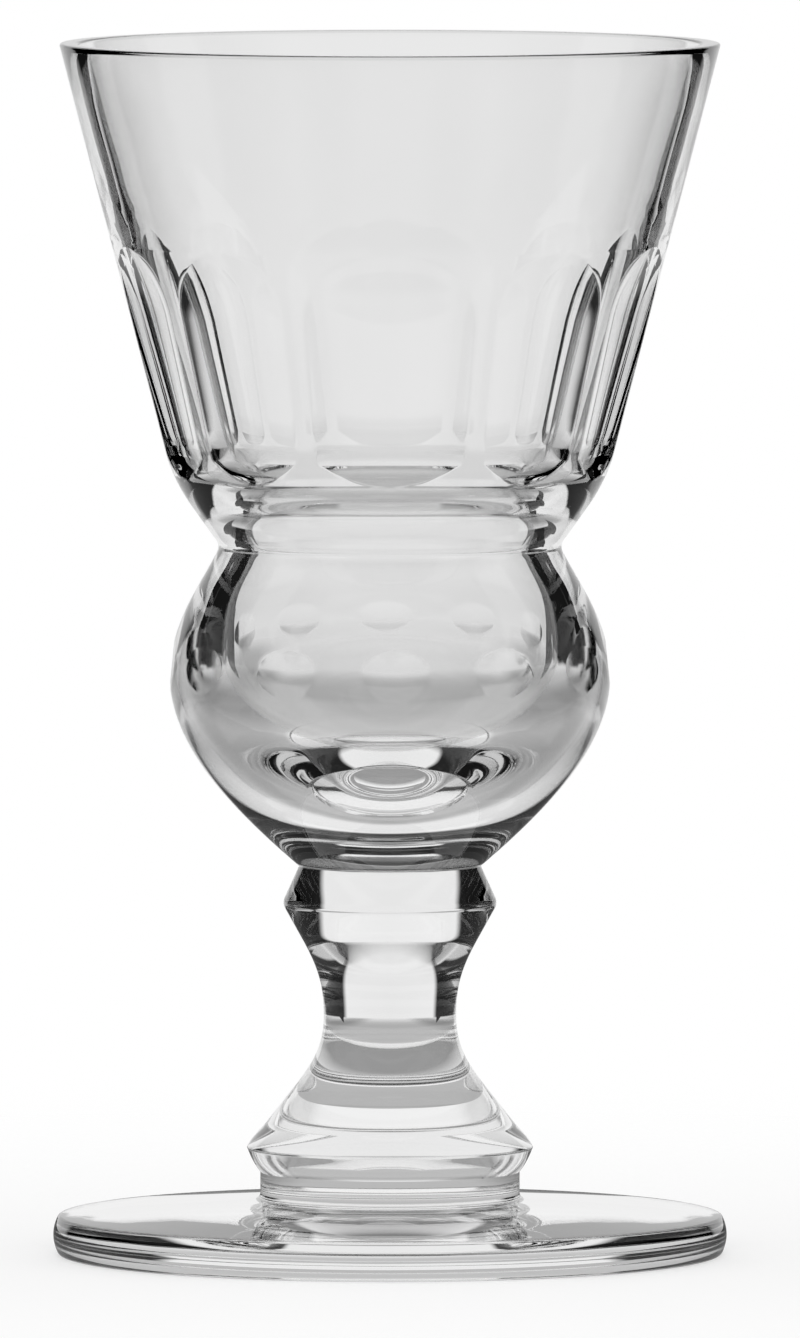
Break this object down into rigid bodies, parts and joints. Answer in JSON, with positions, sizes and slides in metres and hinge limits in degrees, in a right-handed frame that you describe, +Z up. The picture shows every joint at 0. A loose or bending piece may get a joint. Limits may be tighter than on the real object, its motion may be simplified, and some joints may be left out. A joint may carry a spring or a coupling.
{
  "type": "absinthe glass",
  "caption": "Stemmed clear absinthe glass: fluted cone cup over a ball-shaped dose reservoir, solid knopped stem and thick round foot.",
  "frame": {"origin": "middle of the resting plane under the foot", "axes": "+Z up along the glass's axis, the wide front flute facing -Y"},
  "size_m": [0.0834, 0.0834, 0.15],
  "materials": {
    "clear_glass": "clear fire-polished glass, cut flutes and ovals polished clear"
  },
  "bodies": {
    "root": {"bowl": "clear_glass", "stem": "clear_glass", "foot": "clear_glass"}
  },
  "joints": []
}
